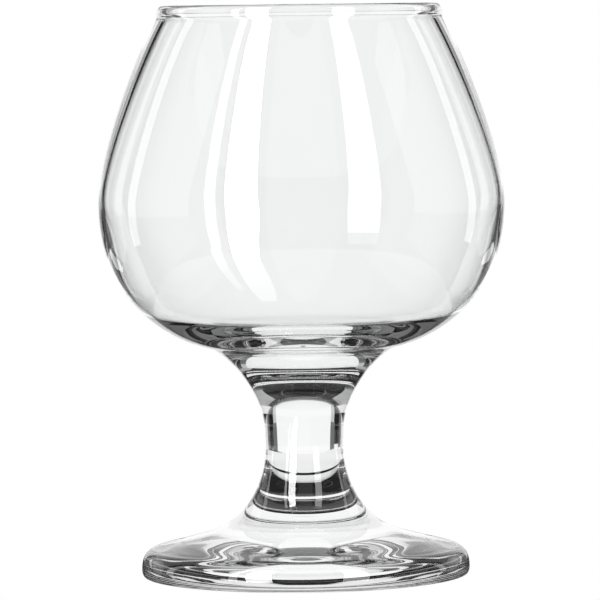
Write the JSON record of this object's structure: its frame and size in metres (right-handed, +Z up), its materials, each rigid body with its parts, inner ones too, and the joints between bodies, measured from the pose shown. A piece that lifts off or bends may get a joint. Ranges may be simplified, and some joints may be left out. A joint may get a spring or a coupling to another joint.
{
  "type": "brandy snifter",
  "caption": "Clear brandy snifter: a wide bowl that narrows to a rounded rim, on a short waisted stem and a round foot.",
  "frame": {"origin": "centre of the resting ring under the foot, at table height", "axes": "+Z up along the axis of the glass, from the foot to the rim; X and Y are level and alike, because the glass is round"},
  "size_m": [0.0746, 0.0746, 0.105],
  "materials": {
    "blown_glass": "clear, fire-polished",
    "drawn_glass": "clear, fire-polished",
    "pressed_glass": "clear, fire-polished"
  },
  "bodies": {
    "root": {"bowl": "blown_glass", "stem": "drawn_glass", "foot": "pressed_glass"}
  },
  "joints": []
}
